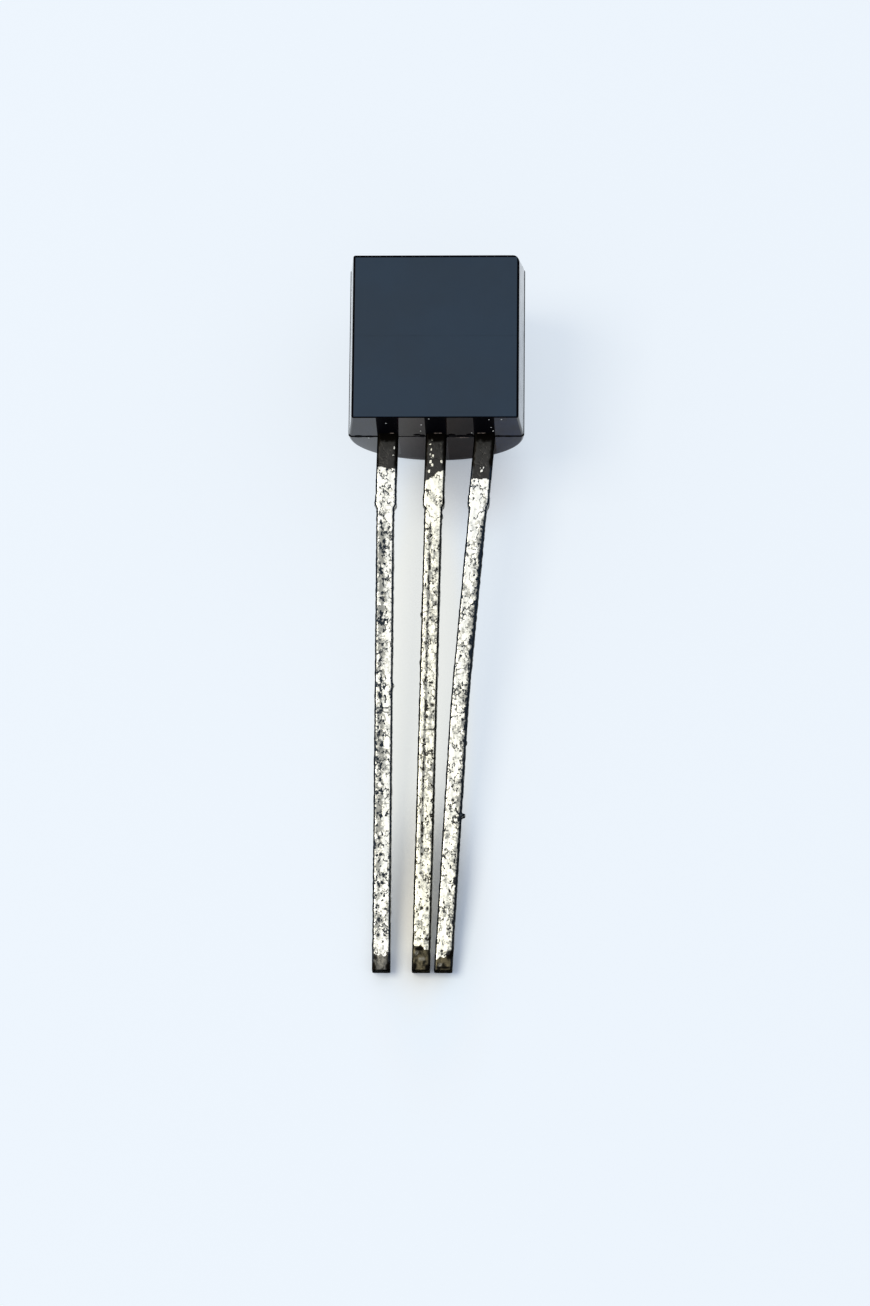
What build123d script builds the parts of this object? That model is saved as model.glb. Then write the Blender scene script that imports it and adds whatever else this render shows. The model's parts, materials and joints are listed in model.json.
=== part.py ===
from build123d import *
import os
from math import atan2, cos, radians, sin, tan

# A through-hole transistor in a D-shaped moulded package, lying as it comes to rest:
# flat face up, round back down, leads toward -Y, held up by the lead end of its back and
# by the tips of its leads.  Sketches are drawn in the package's own axes: X across,
# Y from the leads to the top, Z out of the flat face, from the parting plane in line with
# the lead end of the back.
# All lengths are in millimetres and all angles in degrees.

# Moulded body
body_width = 4.6            # across the parting line, and the diameter of the round back
body_length = 4.55          # lead end to top end, along the back
lead_end_bulge = 0.08       # how far the lead end stands out at the parting line
front_depth = 1.27          # parting line to flat face
side_draft = 5.4            # sides of the front half
front_end_draft = 1.25      # top end of the front half; the flat is set back as far at the lead end
edge_radius = 0.06          # edges of the flat face
gate_width = 1.1            # scar of the mould's gate on the top end
gate_depth = 0.45
gate_height = 0.05

# Lead frame strip and the leads outside the body
lead_pitch = 1.27
lead_thickness = 0.40
lead_length = 14.5          # lead end of the back to the tips
root_width = 0.545          # from the body to the cut dam bar
root_length = 2.05
shank_width = 0.465         # from the dam bar to the tip
stub_length = 0.3           # what is left of the dam bar on each edge
stub_reach = 0.03
tip_gap = 0.105             # between the tips of the base and the emitter lead
exit_length = 0.15          # straight run before a lead leans
exit_radius = 3.0           # bend below the body
bend_radius = 40.0          # gentle bend further down

# Where each lead bends, along its length, and how far it has drifted sideways there and
# at its tip, in pitches.  The emitter lead leans over until tip_gap is left.
collector_bend_share = 0.141
collector_drift_shares = (-0.035, -0.009)
base_bend_share = 0.141
base_drift_shares = (-0.045, -0.208)
emitter_bend_share = 0.5
emitter_bend_drift_share = 0.612    # of the drift at its tip

# Lead frame inside the body
frame_gap = 0.35            # stamped gap between neighbours
head_length = 0.5           # bond pads on the base and emitter leads
base_head_width_share = 0.7         # of the pitch
base_top_share = 0.31               # of the body's length
paddle_top_share = 0.72             # of the body's length
paddle_reach_share = 0.16           # of the pitch, past the middle lead

# Die and bond wires
die_size = 0.55
die_thickness = 0.2
wire_diameter = 0.05
wire_rise = 0.3             # top of the die to the top of the loop
ball_diameter = 0.12        # flattened ball that bonds a wire to the die
ball_height = 0.04
loop_radius_share = 0.8             # of the rise
pad_offset_share = 0.28             # of the die's size, from its middle

overrun = 1.0               # how far cutting shapes pass what they cut

# Sizes that follow
back_radius = body_width / 2
flat_width = body_width - 2 * front_depth * tan(radians(side_draft))
end_setback = front_depth * tan(radians(front_end_draft))
half_lead = lead_thickness / 2

# Rest pose: the lead end of the back and the undersides of the tips touch z = 0
rest_tilt = atan2(back_radius - half_lead, lead_length)
rest_height = lead_length * sin(rest_tilt) + half_lead * cos(rest_tilt)
tip_end_y = -lead_length * cos(rest_tilt) - half_lead * sin(rest_tilt)
top_end_y = body_length * cos(rest_tilt) + back_radius * sin(rest_tilt)

# Planes through the middle of the lead end of the back
origin = (0, -(tip_end_y + top_end_y) / 2, rest_height)
across = Vector(1, 0, 0)
upward = Vector(0, cos(rest_tilt), sin(rest_tilt))
outward = Vector(0, -sin(rest_tilt), cos(rest_tilt))
parting_plane = Plane(origin, x_dir=across, z_dir=outward)
profile_plane = Plane(origin, x_dir=across, z_dir=-upward)
side_plane = Plane(origin, x_dir=upward, z_dir=across)
frame_face = parting_plane.offset(half_lead)
die_face = parting_plane.offset(half_lead + die_thickness)

os.makedirs("parts", exist_ok=True)


def save(piece, name):
    """Labels a finished piece and writes it to its own file."""
    piece.label = name
    export_step(piece, f"parts/{name}.step")


def block(left, right, low, high, mode=Mode.ADD):
    """Adds a rectangle to the open sketch, given by its four edges."""
    with Locations(((left + right) / 2, (low + high) / 2)):
        Rectangle(right - left, high - low, mode=mode)


def strip(centre_line, width, low, high):
    """The stretch of a flat strip along a centre line between two heights."""
    with BuildSketch() as stretch:
        trace(centre_line, width)
        block(-body_width, body_width, low, high, mode=Mode.INTERSECT)
    return stretch.sketch


def lead_outline(exit_x, inner_end, bend_share, bend_drift, tip_drift):
    """Outline of one lead: root, dam bar stubs and shank along a gently bent centre line."""
    with BuildLine() as centre:
        FilletPolyline(
            (exit_x, inner_end),
            (exit_x, -exit_length),
            (exit_x + bend_drift, -lead_length * bend_share),
            (exit_x + tip_drift, -lead_length),
            radius=(exit_radius, bend_radius),
        )
    with BuildSketch() as outline:
        add(strip(centre.line, root_width, -root_length, inner_end))
        add(strip(centre.line, root_width + 2 * stub_reach, -root_length, stub_length - root_length))
        add(strip(centre.line, shank_width, -lead_length, -root_length))
    return outline.sketch


# Lead frame levels and edges inside the body
base_top = body_length * base_top_share
paddle_low = base_top + frame_gap
paddle_high = body_length * paddle_top_share
paddle_left = -lead_pitch - root_width / 2
paddle_right = lead_pitch * paddle_reach_share
head_left = paddle_right + frame_gap
head_right = lead_pitch + root_width / 2
base_head_half = lead_pitch * base_head_width_share / 2

base_tip_drift = lead_pitch * base_drift_shares[1]
emitter_tip_drift = base_tip_drift + shank_width + tip_gap - lead_pitch

# Collector lead: its inner end is the paddle that carries the die
with BuildPart() as collector_lead:
    with BuildSketch(parting_plane):
        add(lead_outline(-lead_pitch, paddle_low, collector_bend_share,
                         *(lead_pitch * share for share in collector_drift_shares)))
        block(paddle_left, paddle_right, paddle_low, paddle_high)
    extrude(amount=half_lead, both=True)
save(collector_lead.part, "collector_lead")

# Base lead: a short post with a wider head under the paddle
with BuildPart() as base_lead:
    with BuildSketch(parting_plane):
        add(lead_outline(0, base_top, base_bend_share,
                         *(lead_pitch * share for share in base_drift_shares)))
        block(-base_head_half, base_head_half, base_top - head_length, base_top)
    extrude(amount=half_lead, both=True)
save(base_lead.part, "base_lead")

# Emitter lead: its head reaches inward beside the paddle
with BuildPart() as emitter_lead:
    with BuildSketch(parting_plane):
        add(lead_outline(lead_pitch, paddle_low, emitter_bend_share,
                         emitter_tip_drift * emitter_bend_drift_share, emitter_tip_drift))
        block(head_left, head_right, paddle_low, paddle_low + head_length)
    extrude(amount=half_lead, both=True)
save(emitter_lead.part, "emitter_lead")

# Silicon die on the face of the paddle
die_x = (paddle_left + paddle_right) / 2
die_y = (paddle_low + paddle_high) / 2
with BuildPart() as silicon_die:
    with BuildSketch(frame_face):
        with Locations((die_x, die_y)):
            Rectangle(die_size, die_size)
    extrude(amount=die_thickness)
save(silicon_die.part, "silicon_die")


def bond_wire(pad_x, pad_y, post_x, post_y):
    """A wire that rises from a ball on the die, arches over and comes down on a post."""
    pad = die_face.from_local_coords((pad_x, pad_y, 0))
    span = die_face.from_local_coords((post_x, post_y, 0)) - pad
    loop_plane = Plane(pad, x_dir=span, z_dir=span.cross(outward))
    with BuildPart() as wire:
        with BuildLine(loop_plane) as loop:
            FilletPolyline(
                (0, 0),
                (0, wire_rise),
                (span.length, wire_rise),
                (span.length, -die_thickness),
                radius=wire_rise * loop_radius_share,
            )
        with BuildSketch(loop.line ^ 0):
            Circle(wire_diameter / 2)
        sweep()
        with BuildSketch(Plane(pad, z_dir=outward)):
            Circle(ball_diameter / 2)
        extrude(amount=ball_height)
    return wire.part


# Bond wires from the die to the heads of the base and emitter leads
pad_offset = die_size * pad_offset_share
base_bond_wire = bond_wire(die_x + pad_offset, die_y - pad_offset, 0, base_top - head_length / 2)
save(base_bond_wire, "base_bond_wire")
emitter_bond_wire = bond_wire(die_x + pad_offset, die_y + pad_offset,
                              (head_left + head_right) / 2, paddle_low + head_length / 2)
save(emitter_bond_wire, "emitter_bond_wire")

# Epoxy body, moulded round all of these
with BuildPart() as epoxy_body:
    with BuildSketch(profile_plane.offset(overrun)):
        with BuildLine():
            flat_edge = Line((-flat_width / 2, front_depth), (flat_width / 2, front_depth))
            right_side = Line(flat_edge @ 1, (back_radius, 0))
            back = ThreePointArc(right_side @ 1, (0, -back_radius), (-back_radius, 0))
            Line(back @ 1, flat_edge @ 0)
        make_face()
    extrude(amount=-(body_length + 2 * overrun))
    with BuildSketch(side_plane):
        with BuildLine():
            Polyline(
                (end_setback, front_depth),
                (body_length - end_setback, front_depth),
                (body_length, 0),
                (body_length, -back_radius),
                (0, -back_radius),
                (-lead_end_bulge, 0),
                close=True,
            )
        make_face()
    extrude(amount=body_width, both=True, mode=Mode.INTERSECT)
    flat_face = epoxy_body.faces().sort_by(Axis(origin, outward))[-1]
    fillet(flat_face.edges(), edge_radius)
    with BuildSketch(profile_plane.offset(gate_height - body_length)):
        Rectangle(gate_width, gate_depth)
    extrude(amount=-2 * gate_height)
    for inner_piece in (collector_lead.part, base_lead.part, emitter_lead.part, silicon_die.part,
                        base_bond_wire, emitter_bond_wire):
        add(inner_piece, mode=Mode.SUBTRACT)
save(epoxy_body.part, "epoxy_body")
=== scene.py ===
import json
from dataclasses import dataclass
from math import cos, exp, hypot, pi, radians, sin, sqrt, tan

import bmesh
import bpy
from bpy.props import FloatProperty, FloatVectorProperty, PointerProperty
from mathutils import Matrix, Vector, noise


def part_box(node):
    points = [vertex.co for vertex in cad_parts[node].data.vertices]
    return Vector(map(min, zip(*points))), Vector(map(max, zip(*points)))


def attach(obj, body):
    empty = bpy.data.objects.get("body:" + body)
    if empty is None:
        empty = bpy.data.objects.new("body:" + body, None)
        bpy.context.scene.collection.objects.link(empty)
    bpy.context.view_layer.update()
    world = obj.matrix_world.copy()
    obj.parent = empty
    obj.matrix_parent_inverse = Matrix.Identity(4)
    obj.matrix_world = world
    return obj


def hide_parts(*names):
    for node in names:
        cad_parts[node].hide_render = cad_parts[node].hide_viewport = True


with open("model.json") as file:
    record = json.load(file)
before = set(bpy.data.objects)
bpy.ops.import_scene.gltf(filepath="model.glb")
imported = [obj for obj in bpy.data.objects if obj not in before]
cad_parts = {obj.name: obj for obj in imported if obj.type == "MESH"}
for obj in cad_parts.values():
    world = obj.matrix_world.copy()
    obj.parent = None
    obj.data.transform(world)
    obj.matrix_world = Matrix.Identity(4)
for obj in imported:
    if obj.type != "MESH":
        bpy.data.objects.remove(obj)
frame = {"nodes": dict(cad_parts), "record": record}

bl_info = {
    "name": "Small transistor",
    "version": (1, 0, 0),
    "blender": (4, 5, 0),
    "location": "View3D > Sidebar > Transistor",
    "description": "Dresses a three-lead transistor: moulded epoxy body and solder-dipped leads",
    "category": "Object",
}

# Shapes are drawn in millimetres in the package's own axes: X across, Y from the leads to
# the top end, Z out of the flat face, from the parting plane in line with the lead end of
# the back.  PACKAGE then lays them on the frame, in metres.
MM = 0.001

# Moulded body
BODY_LENGTH = 4.55
FRONT_DEPTH = 1.27          # parting line to flat face
SIDE_DRAFT = radians(5.4)
END_DRAFT = radians(1.25)
LEAD_END_BULGE = 0.08       # how far the lead end stands out at the parting line
FLAT_EDGE_RADIUS = 0.06
GATE_WIDTH = 1.1
GATE_DEPTH = 0.45
GATE_HEIGHT = 0.05

# Leads
LEAD_PITCH = 1.27
LEAD_THICKNESS = 0.40
LEAD_LENGTH = 14.5
ROOT_WIDTH = 0.545
ROOT_LENGTH = 2.05
SHANK_WIDTH = 0.465
STUB_LENGTH = 0.3
STUB_REACH = 0.03
EXIT_LENGTH = 0.15
FRAME_GAP = 0.35
HEAD_LENGTH = 0.5
BASE_TOP = 0.31 * BODY_LENGTH
PADDLE_HIGH = 0.72 * BODY_LENGTH
PADDLE_LOW = BASE_TOP + FRAME_GAP
PADDLE_RIGHT = 0.16 * LEAD_PITCH
BASE_HEAD_HALF = 0.35 * LEAD_PITCH

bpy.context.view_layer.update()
MOUNTS = {mount["name"]: mount for mount in frame["record"]["mounts"]}
BODY_LOW, BODY_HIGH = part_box("epoxy_body")
BACK_RADIUS = (BODY_HIGH[0] - BODY_LOW[0]) / 2 / MM

FLAT_FACE = MOUNTS["flat_face"]
ACROSS = Vector((1, 0, 0))
OUTWARD = Vector(FLAT_FACE["axis"])
UPWARD = OUTWARD.cross(ACROSS)
FLAT_MIDDLE = OUTWARD * FRONT_DEPTH + UPWARD * BODY_LENGTH / 2
PACKAGE = Matrix((ACROSS, UPWARD, OUTWARD)).transposed().to_4x4()
PACKAGE.translation = Vector(FLAT_FACE["pos_m"]) - FLAT_MIDDLE * MM
PACKAGE = PACKAGE @ Matrix.Scale(MM, 4)


# Settings that a user would change

class EpoxySettings(bpy.types.PropertyGroup):
    """Fine shapes and colours of the moulded body"""
    edge_radius: FloatProperty(
        name="End edge radius", description="Rounding of the edges of both ends",
        default=0.05 * MM, min=0.005 * MM, max=0.055 * MM, precision=6, unit="LENGTH")
    flash_height: FloatProperty(
        name="Flash height", description="How far the moulding flash stands out at the parting line",
        default=0.012 * MM, min=0.0, max=0.05 * MM, precision=6, unit="LENGTH")
    corner_radius: FloatProperty(
        name="Worn corner radius", description="Rounding of the worn top right corner of the flat face",
        default=0.2 * MM, min=0.06 * MM, max=0.3 * MM, precision=6, unit="LENGTH")
    # Its blue is a painted reflection of the sky on the black epoxy
    flat_colour: FloatVectorProperty(
        name="Flat face colour", description="Colour of the flat face, slightly bloomed",
        default=(0.0024, 0.0155, 0.037), min=0.0, max=1.0, subtype="COLOR")
    skin_colour: FloatVectorProperty(
        name="Skin colour", description="Colour of the smooth ends, sides and back",
        default=(0.003, 0.003, 0.0035), min=0.0, max=1.0, subtype="COLOR")
    torn_colour: FloatVectorProperty(
        name="Torn colour", description="Lightest colour of the torn epoxy at the gate",
        default=(0.05, 0.05, 0.052), min=0.0, max=1.0, subtype="COLOR")
    # Black of the edges round the flat face and the parting line, and of the painted shade and dark
    # reflection on the lead end
    edge_colour: FloatVectorProperty(
        name="Edge colour", description="Colour of the worn edges of the flat face",
        default=(0.002, 0.002, 0.003), min=0.0, max=1.0, subtype="COLOR")


class LeadSettings(bpy.types.PropertyGroup):
    """Colours of the leads, and the height of their solder"""
    tin_colour: FloatVectorProperty(
        name="Tin colour", description="Colour of clean solder",
        default=(0.785, 0.797, 0.795), min=0.0, max=1.0, subtype="COLOR")
    cream_tin_colour: FloatVectorProperty(
        name="Cream tin colour", description="Colour of solder with a film of flux",
        default=(0.835, 0.825, 0.715), min=0.0, max=1.0, subtype="COLOR")
    dull_tin_colour: FloatVectorProperty(
        name="Dull tin colour", description="Colour of dull, thin solder",
        default=(0.24, 0.246, 0.236), min=0.0, max=1.0, subtype="COLOR")
    pit_colour: FloatVectorProperty(
        name="Pit colour", description="Colour of pits and cracks",
        default=(0.020, 0.018, 0.014), min=0.0, max=1.0, subtype="COLOR")
    # Also the painted dark reflection and shade on the edges of leads with little flux
    blue_pit_and_painted_edge_colour: FloatVectorProperty(
        name="Blue pit colour", description="Colour of pits and edges where there is no flux",
        default=(0.012, 0.020, 0.034), min=0.0, max=1.0, subtype="COLOR")
    # Painted dark reflection on the rounded edges of the solder; also the dark patches on the bare tips
    edge_colour: FloatVectorProperty(
        name="Edge colour", description="Colour of the sheared edges",
        default=(0.010, 0.010, 0.008), min=0.0, max=1.0, subtype="COLOR")
    # Painted shade close to the body and along the root's edges; also the colour of dark blots on bare
    # metal
    shade_and_blot_colour: FloatVectorProperty(
        name="Soot colour", description="Colour of the metal close to the body",
        default=(0.004, 0.0036, 0.003), min=0.0, max=1.0, subtype="COLOR")
    root_colour: FloatVectorProperty(
        name="Root colour", description="Colour of the bare metal between body and solder",
        default=(0.034, 0.034, 0.034), min=0.0, max=1.0, subtype="COLOR")
    grey_tip_colour: FloatVectorProperty(
        name="Grey tip colour", description="Colour of the cut tips where there is no flux",
        default=(0.085, 0.085, 0.08), min=0.0, max=1.0, subtype="COLOR")
    tip_colour: FloatVectorProperty(
        name="Tip colour", description="Colour of the bare metal at the cut tips",
        default=(0.085, 0.0745, 0.048), min=0.0, max=1.0, subtype="COLOR")
    worn_colour: FloatVectorProperty(
        name="Worn tip colour", description="Colour of worn patches on the cut tips",
        default=(0.19, 0.185, 0.165), min=0.0, max=1.0, subtype="COLOR")
    solder_thickness: FloatProperty(
        name="Solder thickness", description="Height of the lumps in the solder",
        default=0.014 * MM, min=0.0, max=0.05 * MM, precision=6, unit="LENGTH")


class StageSettings(bpy.types.PropertyGroup):
    """Paper, light and camera"""
    paper_colour: FloatVectorProperty(
        name="Paper colour", description="Colour of the sheet that the transistor lies on",
        default=(0.93, 0.93, 0.93), min=0.0, max=1.0, subtype="COLOR")
    sky_colour: FloatVectorProperty(
        name="Sky colour", description="Colour of the light from all round",
        default=(0.70, 0.745, 0.87), min=0.0, max=1.0, subtype="COLOR")
    sky_strength: FloatProperty(
        name="Sky strength", description="Brightness of the light from all round",
        default=0.80, min=0.0, max=2.0)
    backdrop_colour: FloatVectorProperty(
        name="Backdrop colour", description="Colour that the camera and reflections see all round",
        default=(0.965, 0.985, 1.0), min=0.0, max=1.0, subtype="COLOR")
    key_colour: FloatVectorProperty(
        name="Key colour", description="Colour of the soft lamp on the left",
        default=(1.0, 0.92, 0.74), min=0.0, max=1.0, subtype="COLOR")
    key_power: FloatProperty(
        name="Key power", description="Power of the soft lamp on the left",
        default=0.48, min=0.0, max=10.0, unit="POWER")
    glow_colour: FloatVectorProperty(
        name="Paper brightness", description="Colour that lifts the paper's shade",
        default=(0.81, 0.90, 0.99), min=0.0, max=1.0, subtype="COLOR")
    glow_strength: FloatProperty(
        name="Paper brightness strength", description="Strength of the colours that lift the paper's shade",
        default=1.03, min=0.0, max=2.0)
    paper_lift: FloatProperty(
        name="Paper lift", description="How much the paper's shade is lifted",
        default=0.68, min=0.0, max=1.0, subtype="FACTOR")
    contact_lift: FloatProperty(
        name="Contact lift", description="How much the shade close under the body is lifted",
        default=0.27, min=0.0, max=1.0, subtype="FACTOR")
    shaded_paper_colour: FloatVectorProperty(
        name="Shaded paper colour", description="Colour of the paper close to the tips of the leads",
        default=(0.862, 0.945, 1.0), min=0.0, max=1.0, subtype="COLOR")
    warm_paper_colour: FloatVectorProperty(
        name="Warm paper colour", description="Colour of the paper between the leads, lit by their solder",
        default=(0.93, 0.92, 0.87), min=0.0, max=1.0, subtype="COLOR")
    warm_glow_colour: FloatVectorProperty(
        name="Warm brightness", description="Colour that lifts the paper's shade between the leads",
        default=(0.888, 0.9175, 0.90), min=0.0, max=1.0, subtype="COLOR")
    tip_lift: FloatProperty(
        name="Tip lift", description="How much the shade close to the tips of the leads is lifted",
        default=0.05, min=0.0, max=1.0, subtype="FACTOR")
    key_elevation: FloatProperty(
        name="Key elevation", description="Height of the soft lamp above the paper, as an angle",
        default=radians(61.5), min=0.0, max=pi / 2, subtype="ANGLE")
    camera_lens: FloatProperty(
        name="Lens", description="Focal length on a 36 mm frame",
        default=167.8, min=10.0, max=500.0)
    camera_distance: FloatProperty(
        name="Camera distance", description="From the camera to the point that it aims at",
        default=0.15869, min=0.02, max=2.0, precision=5, unit="LENGTH")
    camera_elevation: FloatProperty(
        name="Camera elevation", description="Height of the camera above the paper, as an angle",
        default=radians(65.359), min=0.0, max=pi / 2, subtype="ANGLE")
    camera_heading: FloatProperty(
        name="Camera heading", description="Turn of the view from the leads' own direction",
        default=radians(-4.679), min=-pi, max=pi, subtype="ANGLE")
    camera_roll: FloatProperty(
        name="Camera roll", description="Turn of the camera about its own axis",
        default=radians(-4.277), min=-pi, max=pi, subtype="ANGLE")
    camera_aim: FloatVectorProperty(
        name="Camera aim", description="Point that the camera looks at",
        default=(0.004 * MM, -0.984 * MM, 1.0 * MM), precision=6, subtype="TRANSLATION", unit="LENGTH")


# Meshes and materials

NOISE_LOW, NOISE_HIGH = 0.3, 0.7    # most of a noise lies between these
MIX_SHARE, MIX_FIRST, MIX_SECOND = 0, 6, 7      # a mix node's inputs for colours
MIX_RESULT = 2                      # and its output


def add_object(name, data):
    """Puts a mesh, a lamp or a camera into the scene."""
    thing = bpy.data.objects.new(name, data)
    bpy.context.scene.collection.objects.link(thing)
    return thing


def finished_piece(name, verts, faces, materials, sharp_angle):
    """A closed mesh from package points, laid on the frame, with clean normals and its materials."""
    mesh = bpy.data.meshes.new(name)
    mesh.from_pydata(verts, [], faces)
    work = bmesh.new()
    work.from_mesh(mesh)
    bmesh.ops.recalc_face_normals(work, faces=work.faces)
    work.to_mesh(mesh)
    work.free()
    mesh.transform(PACKAGE)
    mesh.shade_smooth()
    mesh.set_sharp_from_angle(angle=sharp_angle)
    for material in materials:
        mesh.materials.append(material)
    return add_object(name, mesh)


def smooth_step(value, low, high):
    """0 below low, 1 above high and a smooth rise between them."""
    share = min(max((value - low) / (high - low), 0.0), 1.0)
    return share * share * (3 - 2 * share)


class Finish:
    """A material under construction, with short ways to add its nodes and join them."""

    def __init__(self, name):
        self.material = bpy.data.materials.new(name)
        self.material.use_nodes = True
        self.nodes = self.material.node_tree.nodes
        self.links = self.material.node_tree.links
        self.shader = self.nodes["Principled BSDF"]

    def fill(self, socket, value):
        """Links a socket to another node's output, or sets its value."""
        if isinstance(value, bpy.types.NodeSocket):
            self.links.new(value, socket)
        else:
            socket.default_value = value

    def add(self, kind, output, settings=None, **values):
        """Adds a node, sets its options and inputs, and gives back one of its outputs."""
        node = self.nodes.new(kind)
        for option, choice in (settings or {}).items():
            setattr(node, option, choice)
        for name, value in values.items():
            self.fill(node.inputs[name.replace("_", " ")], value)
        return node.outputs[output]

    def place(self):
        """Where a point is, in metres."""
        return self.add("ShaderNodeTexCoord", "Object")

    def mark(self, name):
        """A value that the mesh carries at its points."""
        return self.add("ShaderNodeAttribute", "Fac", {"attribute_name": name})

    def grain(self, size, detail=2.0, roughness=0.5, place=None):
        """Noise whose lumps are about the given size, in millimetres."""
        return self.add("ShaderNodeTexNoise", "Fac", Vector=place or self.place(),
                        Scale=1 / (size * MM), Detail=detail, Roughness=roughness)

    def step(self, value, low, high, start=0.0, end=1.0):
        """A smooth rise from start to end while a value goes from low to high."""
        node = self.nodes.new("ShaderNodeMapRange")
        node.interpolation_type = "SMOOTHSTEP"
        for name, number in (("Value", value), ("From Min", low), ("From Max", high),
                             ("To Min", start), ("To Max", end)):
            self.fill(node.inputs[name], number)
        return node.outputs["Result"]

    def spread(self, noise_value, start, end):
        """A value that goes from start to end over the usual reach of a noise."""
        return self.step(noise_value, NOISE_LOW, NOISE_HIGH, start, end)

    def calc(self, kind, first, second=0.0):
        """One arithmetic step on one or two values."""
        node = self.nodes.new("ShaderNodeMath")
        node.operation = kind
        self.fill(node.inputs[0], first)
        self.fill(node.inputs[1], second)
        return node.outputs["Value"]

    def vectors(self, kind, first, second=(0.0, 0.0, 0.0), output="Vector"):
        """One step on one or two vectors."""
        node = self.nodes.new("ShaderNodeVectorMath")
        node.operation = kind
        self.fill(node.inputs[0], first)
        self.fill(node.inputs[1], second)
        return node.outputs[output]

    def away(self, spot, stretch=(1.0, 1.0, 1.0)):
        """Distance from a spot, in metres, with each direction stretched."""
        aside = self.vectors("SUBTRACT", self.place(), spot)
        return self.vectors("LENGTH", self.vectors("MULTIPLY", aside, stretch), output="Value")

    def blend(self, share, first, second):
        """A colour between two colours."""
        node = self.nodes.new("ShaderNodeMix")
        node.data_type = "RGBA"
        node.clamp_factor = True
        for index, value in ((MIX_SHARE, share), (MIX_FIRST, first), (MIX_SECOND, second)):
            if not isinstance(value, (float, bpy.types.NodeSocket)):
                value = (*value, 1.0)
            self.fill(node.inputs[index], value)
        return node.outputs[MIX_RESULT]

    def bump(self, height, depth, strength=1.0):
        """Relief of the given depth, in millimetres."""
        return self.add("ShaderNodeBump", "Normal", Height=height, Distance=depth * MM, Strength=strength)

    def paint(self, **values):
        """Sets the shader's own inputs, named in words."""
        for name, value in values.items():
            socket = self.shader.inputs[name.replace("_", " ")]
            if hasattr(value, "__len__"):
                value = (*value, 1.0)
            self.fill(socket, value)
        return self.material


# Finishes, with the size of the lumps in each of their noises in millimetres

FLAT_CLOUD = 1.6
FLAT_SHEEN = 0.3
SKIN_CLOUD = 0.5
SKIN_GRAIN = 0.06
EPOXY_GRAIN = 0.05
CLOUD_RIMS = (0.35, 0.65)           # values of a cloud at its thin and at its full parts
SOLDER_GRAIN = 0.06
SOLDER_PATCH = 0.15
SOLDER_CLOUD = 1.1
SOLDER_STRETCH = (1.0, 0.65, 1.0)   # draws out patches, cracks and pits along the leads
CRACK_WANDER = 0.2
CRACK_BREAK = 0.26
PIT_SIZE = 0.085
PIT_FIELD = 0.6
SPLASH_GRAIN = 0.03
LIP_GRAIN = 0.05
LIP_HIGHLIGHT_SHADES = (0.02, 0.016, 0.013), (0.26, 0.20, 0.16)
DIE_FILM = 0.2
DIE_SHADES = (0.16, 0.17, 0.20), (0.26, 0.27, 0.31)
WIRE_GRAIN = 0.03
WIRE_SHADES = (0.78, 0.58, 0.22), (0.90, 0.72, 0.36)
# Values that a lead's mesh carries: solder, painted dark reflection on the edges with the painted
# shade band, dullness, dark blots with painted shade near the body, nearness to the tip, film of flux,
# beads of solder on the bare root and worn patches on the bare tip
LEAD_MARKS = ("tin", "edge", "grime", "dark", "tip", "cream", "beads", "worn")


def shade(colour, share):
    """A darker or lighter version of a colour."""
    return [part * share for part in colour]


def flat_finish(settings):
    """Satin epoxy with a faint bloom, as on the flat face; its blue colour and blue shine are a painted
    reflection of the sky.
    """
    finish = Finish("moulded_epoxy_flat")
    place = finish.place()
    cloud = finish.grain(FLAT_CLOUD, detail=3.0, place=place)
    sheen = finish.grain(FLAT_SHEEN, place=place)
    grain = finish.grain(EPOXY_GRAIN, detail=3.0, roughness=0.6, place=place)
    shades = shade(settings.flat_colour, 0.93), shade(settings.flat_colour, 1.07)
    return finish.paint(Base_Color=finish.blend(finish.step(cloud, *CLOUD_RIMS), *shades),
                        Roughness=finish.spread(sheen, 0.38, 0.46),
                        Normal=finish.bump(grain, 0.0015, 0.4),
                        IOR=1.39, Specular_Tint=(0.91, 0.975, 1.0))


def moulded_finish(name, shades, roughness, relief, **shine):
    """Smooth moulded epoxy with faint clouds."""
    finish = Finish(name)
    place = finish.place()
    cloud = finish.grain(SKIN_CLOUD, detail=3.0, place=place)
    grain = finish.grain(SKIN_GRAIN, detail=3.0, roughness=0.6, place=place)
    return finish.paint(Base_Color=finish.blend(finish.step(cloud, *CLOUD_RIMS), *shades),
                        Roughness=finish.spread(cloud, *roughness),
                        Normal=finish.bump(grain, relief, 0.4), **shine)


def skin_finish(settings):
    """Smooth epoxy of the sides, the back and the top end."""
    shades = shade(settings.skin_colour, 0.7), shade(settings.skin_colour, 1.4)
    return moulded_finish("moulded_epoxy_skin", shades, (0.14, 0.24), 0.002,
                          IOR=1.4, Coat_Weight=0.8, Coat_IOR=1.25, Coat_Roughness=0.12)


def lead_end_finishes():
    """Smooth dark epoxy round the leads, with a painted reflection tint and shine for each place across:
    above the parting line, then below it.
    """
    finishes = []
    for half, (roughness, relief) in LEAD_END_HALVES.items():
        for place, film in LEAD_END_REFLECTIONS.items():
            name = f"moulded_epoxy_{half}_{place}"
            shades = shade(film["colour"], 0.6), shade(film["colour"], 1.4)
            finishes.append(moulded_finish(name, shades, roughness, relief, IOR=film[half]))
    return finishes


def gate_finish(settings):
    """Rough torn epoxy where the mould's gate was broken off."""
    finish = Finish("moulded_epoxy_gate")
    grain = finish.grain(EPOXY_GRAIN, detail=4.0, roughness=0.7)
    colour = finish.blend(grain, settings.skin_colour, settings.torn_colour)
    return finish.paint(Base_Color=colour, Roughness=finish.spread(grain, 0.6, 0.85),
                        Normal=finish.bump(grain, 0.015, 0.8), IOR=1.3)


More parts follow.
